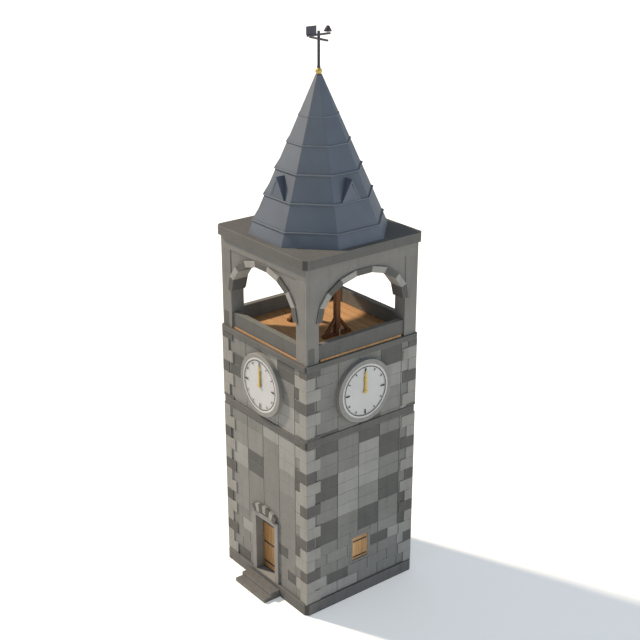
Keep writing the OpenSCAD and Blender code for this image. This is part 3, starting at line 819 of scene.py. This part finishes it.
# %% Sizes of the door leaf
STRAP, STRAP_THICK, STRAP_START, STRAP_END = 0.06, 0.008, 0.059, 0.118
LEAF_BOARDS, LEAF_THICK, LEAF_LAP = 7, 0.06, 0.035
KNUCKLE, PIN_HOLE, KNUCKLE_HIGH = 0.017, 0.009, 0.09
leaf_low, leaf_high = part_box("door_leaf")
strap_front = leaf_low.y
boards_front = strap_front + STRAP_THICK
boards_back = boards_front + LEAF_THICK
leaf_half = leaf_high.x
opening = leaf_high.z - LEAF_LAP - plinth_top
hinges = [plinth_top + opening * share for share in (0.115, 0.475, 0.835)]
pin_x, pin_y = -leaf_half + 0.014, leaf_high.y - KNUCKLE
print("leaf", round(2 * leaf_half, 3), "m wide, straps at", [round(z, 2) for z in hinges])

# %% Boards, straps and nails
def upright_boards(left, right, bottom, top, depth, count, material):
    """Boards side by side in x and z, with their faces at y = -depth."""
    width = (right - left) / count
    board = block(width - 0.004, top - bottom, depth, 0.005)
    places = [((left + (i + 0.5) * width, 0, (bottom + top) / 2), UNTURNED, draw.random())
        for i in range(count)]
    return lay(board, places, material)


def strap(left, right, height, thick):
    """An iron strap with a pointed far end, its back at y = 0."""
    h = height / 2
    return prism([(left, -h), (right - h, -h), (right, 0), (right - h, h), (left, h)],
        thick, 0.0015)


def nail(radius, height):
    """A round-headed nail that stands out along -y."""
    shape = bmesh.new()
    bmesh.ops.create_icosphere(shape, subdivisions=2, radius=radius)
    bmesh.ops.scale(shape, verts=shape.verts[:], vec=(1, height / radius, 1))
    for face in shape.faces:
        face.smooth = True
    return mesh_of(shape, "nail")


print("a nail has", len(nail(0.011, 0.006).polygons), "faces")

# %% Hang the door
leaf = upright_boards(-leaf_half, leaf_half, leaf_low.z, leaf_high.z, LEAF_THICK,
    LEAF_BOARDS, door_board)
leaf.transform(Matrix.Translation((0, boards_back, 0)))
piece("door_boards", leaf, ["door_leaf"], "door")
straps = lay(strap(-leaf_half + STRAP_START, leaf_half - STRAP_END, STRAP, STRAP_THICK),
    [((0, boards_front, z), UNTURNED, MIDDLE) for z in hinges], iron)
board_wide = 2 * leaf_half / LEAF_BOARDS
# The last board has no nail, because the strap comes to its point there.
nails = lay(nail(0.011, 0.006),
    [((board_wide * (i - 2.65), strap_front + 0.002, z), UNTURNED, MIDDLE)
    for z in hinges for i in range(LEAF_BOARDS - 1)], iron)
tube = [(PIN_HOLE, 0), (KNUCKLE, 0), (KNUCKLE, KNUCKLE_HIGH), (PIN_HOLE, KNUCKLE_HIGH),
    (PIN_HOLE, 0)]
knuckles = lay(spun(tube, 24, "knuckle"),
    [((pin_x, pin_y, z - KNUCKLE_HIGH / 2), UNTURNED, MIDDLE) for z in hinges], iron)
piece("door_straps", join([straps, nails, knuckles]), body="door")

# %% Door sill
# A thin flag on the plinth under the doorway, stopped short of the leaf.
SILL = 0.004
sill_depth = strap_front - 0.02 - door_low.y
sill = block(2 * (leaf_half - LEAF_LAP) - 0.004, SILL, sill_depth, 0.0015)
sill = lay(sill, [((0, door_low.y + sill_depth, plinth_top + SILL / 2), UNTURNED, MIDDLE)],
    sill_stone)
piece("door_sill", sill)

# %% [markdown]
# ## The window shutter
# The window is closed by one small shutter of upright boards with two straps. The boards
# are made facing the front like the door's and then turned to the right-hand side.

# %% Window shutter
SHUTTER_BOARDS, STRAP_WIDE, STRAP_THIN = 5, 0.05, 0.006
shutter_low, shutter_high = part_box("window_shutter")
half = (shutter_high.y - shutter_low.y) / 2
face = shutter_high.x - STRAP_THIN
shutter = upright_boards(-half, half, shutter_low.z, shutter_high.z, face - shutter_low.x,
    SHUTTER_BOARDS, shutter_board)
shutter.transform(Matrix.Rotation(math.radians(90), 4, "Z") @ Matrix.Translation(
    (0, -shutter_low.x, 0)))
piece("shutter_boards", shutter, ["window_shutter"])
height = shutter_high.z - shutter_low.z
heights = [shutter_low.z + height * share for share in (0.12, 0.82)]
quarter = (0, 0, math.radians(90))
straps = lay(strap(-half + 0.03, half - 0.03, STRAP_WIDE, STRAP_THIN),
    [((face, 0, z), quarter, MIDDLE) for z in heights], iron)
nails = lay(nail(0.009, 0.005), [((face + 0.005, y * 0.13, z), quarter, MIDDLE)
    for z in heights for y in (-2, -1, 0, 1)], iron)
piece("shutter_straps", join([straps, nails]))

# %% [markdown]
# ## Marks on the dials
# Twelve painted bars stand round each dial. Those at the quarters are longer. They repeat
# round a circle, so a second small tree sets a bar on each corner of a regular polygon,
# with the number of bars and the radius as inputs. A thin ring runs round outside them.

# %% Dial marks
def ring_tree():
    """Sets a bar on each corner of a regular polygon, turned to point outwards."""
    tree, given = new_tree("Ring of bars", [("Points", "Geometry"), ("Block", "Object"),
        ("Count", "Int"), ("Radius", "Float"), ("Material", "Material")])
    ring = add(tree, "GeometryNodeMeshCircle", {
        "Vertices": given.outputs["Count"], "Radius": given.outputs["Radius"]})
    number = add(tree, "GeometryNodeInputIndex").outputs[0]
    share = add(tree, "ShaderNodeMath", {0: number, 1: given.outputs["Count"]},
        operation="DIVIDE")
    angle = add(tree, "ShaderNodeMath", {0: share.outputs[0], 1: math.tau},
        operation="MULTIPLY")
    turn = add(tree, "ShaderNodeCombineXYZ", {"Z": angle.outputs[0]})
    return close_tree(tree, given, ring.outputs["Mesh"], turn.outputs[0])


RING = ring_tree()
dial_face = high("clock_dials").x
print("the ring tree has", len(RING.nodes), "nodes")

# %% Bars and a ring
def ring_of(bar, count, radius):
    """Bars round the dial's middle, flat in x and y."""
    holder = bpy.data.objects.new("bar", bar)
    made = run_tree(RING, bpy.data.meshes.new("none"), {
        "Block": holder, "Count": count, "Radius": radius, "Material": black_enamel})
    bpy.data.objects.remove(holder)
    return made


# Short bars stand at every hour, and a long bar covers the short one at each quarter.
MARK = 0.003
RING_IN, RING_OUT = 0.81, 0.833
QUARTERS, QUARTER_LONG, QUARTER_WIDE, QUARTER_RADIUS = 4, 0.155, 0.046, 0.702
HOURS, HOUR_LONG, HOUR_WIDE, HOUR_RADIUS = 12, 0.078, 0.032, 0.736
long_bar = standing(block(QUARTER_LONG, QUARTER_WIDE, MARK, 0.0))
short_bar = standing(block(HOUR_LONG, HOUR_WIDE, MARK, 0.0))
ring = spun([(RING_IN, 0), (RING_OUT, 0), (RING_OUT, MARK), (RING_IN, MARK), (RING_IN, 0)],
    72, "ring")
ring.set_sharp_from_angle(angle=math.radians(40))
ring.materials.append(black_enamel)
marks = join([ring_of(long_bar, QUARTERS, QUARTER_RADIUS),
    ring_of(short_bar, HOURS, HOUR_RADIUS), ring])
marks.transform(Matrix.Rotation(math.radians(90), 4, "X"))
marks = lay(marks, each_side(0, dial_face, clock_z), black_enamel)
piece("dial_marks", marks)

# %% [markdown]
# ## Louvres and gablet roofs
# Each gablet on the spire lets air through sloping slats behind a frame. The slats overlap
# like weatherboards, so from the ground they read as one plain panel. Each is cut to the
# slope of the triangle. The roof is two thin sheets that lie on the gablet's slopes.

# %% Louvres
vent_low, vent_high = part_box("spire_vents")
vent_front = vent_high.x
VENT_WIDTH, VENT_SIDE, VENT_SILL, VENT_TOP = 0.73, 0.11, 0.05, 0.15
vent_height = vent_high.z - vent_low.z
open_half, open_height = VENT_WIDTH / 2 - VENT_SIDE, vent_height - VENT_TOP - VENT_SILL
slats = []
SLATS, LAP, SLAT_THICK, SLAT_TILT, SLAT_IN = 6, 0.02, 0.006, -7, 0.010
pitch = open_height / SLATS
for i in range(SLATS):
    wide = open_half * (1 - i / SLATS) + 0.012
    narrow = max(open_half * (1 - (i + 1) / SLATS) + 0.005, 0.006)
    slat = prism([(-wide, 0), (wide, 0), (narrow, pitch + LAP), (-narrow, pitch + LAP)],
        SLAT_THICK, 0.0015)
    slat.transform(Matrix.Rotation(math.radians(SLAT_TILT), 4, "X"))
    z = vent_low.z + VENT_SILL + pitch * i
    slats.append(lay(slat, each_side(0, vent_front - SLAT_IN, z), sheet_metal))
piece("vent_louvres", join(slats))

# %% Gablet roofs
# The roof's sheets stop 2 mm behind the gablet's face, as sheet laid on a frame does.
ROOF_DEEP, ROOF_THICK = 0.34, 0.014
w, h, t = VENT_WIDTH / 2, vent_height, ROOF_THICK
roof = prism([(-w - t, 0), (0, h + t * 1.7), (w + t, 0), (w, 0), (0, h), (-w, 0)],
    ROOF_DEEP - 0.002, 0.003)
roofs = lay(roof, each_side(0, vent_front - ROOF_DEEP, vent_low.z), dark_sheet)
piece("vent_roofs", roofs)

# %% [markdown]
# ## The bell, the ball and the foot straps
# A bell is turned on its axis, so its section is drawn once and spun. Two raised lines run
# round its shoulder and one above the lip. The gilded ball is spun too. The feet of the
# bell frame are tied to the floor by short straps of galvanised steel.

# %% Bell
# Each point is a share of the bell's radius at the mouth and of its height.
bell_low, bell_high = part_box("bell")
mouth, bell_r = bell_low.z + 0.02, bell_high.x
bell_h = (bell_high.z - mouth) / 1.075
outside = [(1.0, 0.0), (0.985, 0.03), (0.93, 0.09), (0.87, 0.15), (0.885, 0.16), (0.86, 0.175),
    (0.78, 0.26), (0.70, 0.38), (0.64, 0.50), (0.60, 0.64), (0.615, 0.65), (0.595, 0.66),
    (0.58, 0.72), (0.595, 0.73), (0.575, 0.74), (0.55, 0.82), (0.50, 0.90), (0.40, 0.955),
    (0.2, 1.0), (0.152, 1.0)]
inside = [(0.0, 0.92), (0.3, 0.89), (0.44, 0.80), (0.53, 0.5), (0.67, 0.24), (0.85, 0.0)]
crown = [(0.152, 1.07), (0.0, 1.075)]
section = [(r * bell_r, mouth + z * bell_h) for r, z in inside + outside + crown]
bell = spun(section, 48, "bell")
bell.materials.append(bronze)
clapper = spun([(r, mouth + z) for r, z in ((0, -0.02), (0.03, -0.015), (0.035, 0.0),
    (0.03, 0.02), (0.07, 0.045), (0.08, 0.075), (0.06, 0.115), (0.018, 0.14), (0.018, 0.69),
    (0, 0.69))], 24, "clapper")
clapper.materials.append(iron)
piece("bell_cast", join([bell, clapper]), ["bell"])

# %% Ball and foot straps
ball_high = high("finial_ball")
ball_r = ball_high.x
ball_z = ball_high.z - ball_r * 0.94
turns = [math.pi * i / 16 for i in range(17)]
ball = spun([(ball_r * math.sin(a), ball_z - ball_r * math.cos(a)) for a in turns], 32, "ball")
ball.materials.append(gold_leaf)
piece("gilded_ball", ball, ["finial_ball"])
post_x = high("bell_frame_right").x
foot = block(0.05, 0.22, 0.006, 0.0015)
straps = lay(foot, [((side * (post_x - 0.001), side * 0.05, floor_top + 0.112),
    (0, 0, side * math.radians(90)), MIDDLE) for side in (-1, 1)], galvanised)
piece("foot_straps", straps)

# %% [markdown]
# ## The weather vane
# The rod and the cross bar are fixed, and the pointer turns on the rod's thin top. The
# round parts are spun like the bell, and the bars and the tail plate are cut like blocks.
# The pointer is a separate piece because it rides on the turning body.

# %% Bars and turned iron
def bar(size, middle, chamfer=0.004):
    """A squared bar of iron of a size, centred on a point."""
    mesh = block(size[0], size[2], size[1], chamfer)
    mesh.transform(Matrix.Translation((middle[0], middle[1] + size[1] / 2, middle[2])))
    mesh.materials.append(vane_iron)
    return mesh


def turned(section, y=0.0):
    """A round piece of iron from (radius, height) points, its axis moved along y."""
    mesh = spun(section, 24, "turned")
    mesh.transform(Matrix.Translation((0, y, 0)))
    mesh.set_sharp_from_angle(angle=math.radians(40))
    mesh.materials.append(vane_iron)
    return mesh


print("a bar of iron has", len(bar((0.8, 0.06, 0.06), (0, 0, 0)).polygons), "faces")

# %% The rod and its cross bar
# The rod is thinner at its top, where the pointer's sleeve turns on it.
ROD, PIN, BORE, COLLAR = 0.044, 0.02, 0.0205, 0.056
BAR = 0.058
rod_low, rod_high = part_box("vane_rod")
sleeve_low, vane_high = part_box("vane_pointer")
bar_z = sleeve_low.z + 0.07
cross_z = bar_z - 0.122
bar_end = rod_high.x
shoulder = sleeve_low.z - 0.006
rod = turned([(0, rod_low.z), (ROD, rod_low.z), (ROD, ball_z + 0.10),
    (COLLAR, ball_z + 0.115), (COLLAR, ball_z + 0.14), (ROD, ball_z + 0.155),
    (ROD, shoulder - 0.004), (ROD - 0.004, shoulder), (PIN, shoulder), (PIN, rod_high.z),
    (0, rod_high.z)])
cross = bar((2 * bar_end, BAR, BAR), (0, 0, cross_z))
piece("vane_mast", join([rod, cross]), ["vane_rod"])

# %% The pointer
TAIL_LONG, TAIL_THICK = 0.38, 0.016
sleeve_top = rod_high.z + 0.02
cap_low = sleeve_top - 0.018
sleeve = turned([(BORE, sleeve_low.z), (ROD, sleeve_low.z), (ROD, sleeve_top - 0.006),
    (ROD - 0.006, sleeve_top), (0, sleeve_top), (0, cap_low), (BORE, cap_low),
    (BORE, sleeve_low.z)])
head_y = bar_end - 0.09
head = turned([(0, bar_z + 0.065), (0.124, bar_z + 0.065), (0.124, bar_z + 0.075),
    (0.052, bar_z + 0.222), (0.040, bar_z + 0.23), (0, bar_z + 0.23)], head_y)
stem = turned([(0, bar_z), (0.012, bar_z), (0.012, bar_z + 0.09), (0, bar_z + 0.09)], head_y)
arm = bar((BAR, 2 * bar_end, BAR), (0, 0, bar_z))
tail_low = bar_z + BAR / 2 - 0.001
tail = bar((TAIL_THICK, TAIL_LONG, vane_high.z - tail_low),
    (0, sleeve_low.y + TAIL_LONG / 2, (vane_high.z + tail_low) / 2), 0.003)
piece("vane_arrow", join([sleeve, head, stem, arm, tail]), ["vane_pointer"], "vane")

# %% [markdown]
# ## Finishes on the parts that stay
# The rest of the frame keeps its meshes and only gets its finish. The walls themselves
# become the mortar behind the stones.

# %% Finishes on the frame
kept = {"ground_floor": sill_stone, "spire_vents": sheet_metal}
kept.update({name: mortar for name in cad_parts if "_wall" in name})
for name, material in kept.items():
    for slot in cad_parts[name].material_slots:
        slot.material = material
print("parts that keep their own mesh:", ", ".join(kept))

# %% [markdown]
# ## Floor, light and camera
# A wide pale floor, a pale sky that lights the shaded sides softly, one warm sun from the
# front left and a weak cool light from behind on the right. The camera stands well back
# with a long lens, a little above the belfry, so that upright edges stay nearly parallel.

# %% Floor and sky
# The floor gives off a little light of its own, so that it stays white up to the tower.
ground = bpy.data.meshes.new("studio_floor")
WIDE = 400.0
ground.from_pydata([(-WIDE, -WIDE, 0), (WIDE, -WIDE, 0), (WIDE, WIDE, 0), (-WIDE, WIDE, 0)],
    [], [(0, 1, 2, 3)])
studio = placed("studio_floor", ground)
# Matt white paint: no gloss and no pattern.
paint, _, shader, _ = finish("pale studio floor", 0.9)
shader.inputs["Base Color"].default_value = linear("#f6f6f4")
shader.inputs["Emission Color"].default_value = (1, 1, 1, 1)
shader.inputs["Emission Strength"].default_value = 0.22
ground.materials.append(paint)

world = bpy.data.worlds.new("studio sky")
bpy.context.scene.world = world
world.use_nodes = True
sky = world.node_tree.nodes["Background"].inputs
sky["Color"].default_value = (0.80, 0.89, 1.0, 1)
sky["Strength"].default_value = 0.49
bpy.context.scene.view_settings.view_transform = "Standard"
print("floor", 2 * WIDE, "m wide, sky strength", round(sky["Strength"].default_value, 2))

# %% Lights
def sun(name, energy, colour, spread, direction):
    """A distant light that shines from a direction, its edge of shadow spread in degrees."""
    made = placed(name, bpy.data.lights.new(name, "SUN"))
    made.data.energy, made.data.color = energy, colour
    made.data.angle = math.radians(spread)
    made.rotation_euler = Vector(direction).to_track_quat("Z", "Y").to_euler()
    print(name, "has a strength of", energy, "watts on a square metre")


sun("warm sun", 4.3, (1.0, 0.83, 0.66), 4, (-0.672, -0.31, 0.673))
sun("cool fill", 0.8, (0.85, 0.93, 1.0), 40, (0.8, 0.55, 0.2))

# %% Camera
camera = placed("camera", bpy.data.cameras.new("camera"))
camera.data.lens = 68.45
camera.data.clip_end = 2000
azimuth, elevation, distance = math.radians(52.0), math.radians(22.0), 39.01
target = Vector((0.0235, 0.0300, 9.093))
back = Vector((math.sin(azimuth) * math.cos(elevation),
    -math.cos(azimuth) * math.cos(elevation), math.sin(elevation)))
camera.location = target + back * distance
camera.rotation_euler = back.to_track_quat("Z", "Y").to_euler()
bpy.context.scene.camera = camera
print("camera", round(camera.location.z, 1), "m up and", distance, "m from the tower's middle")
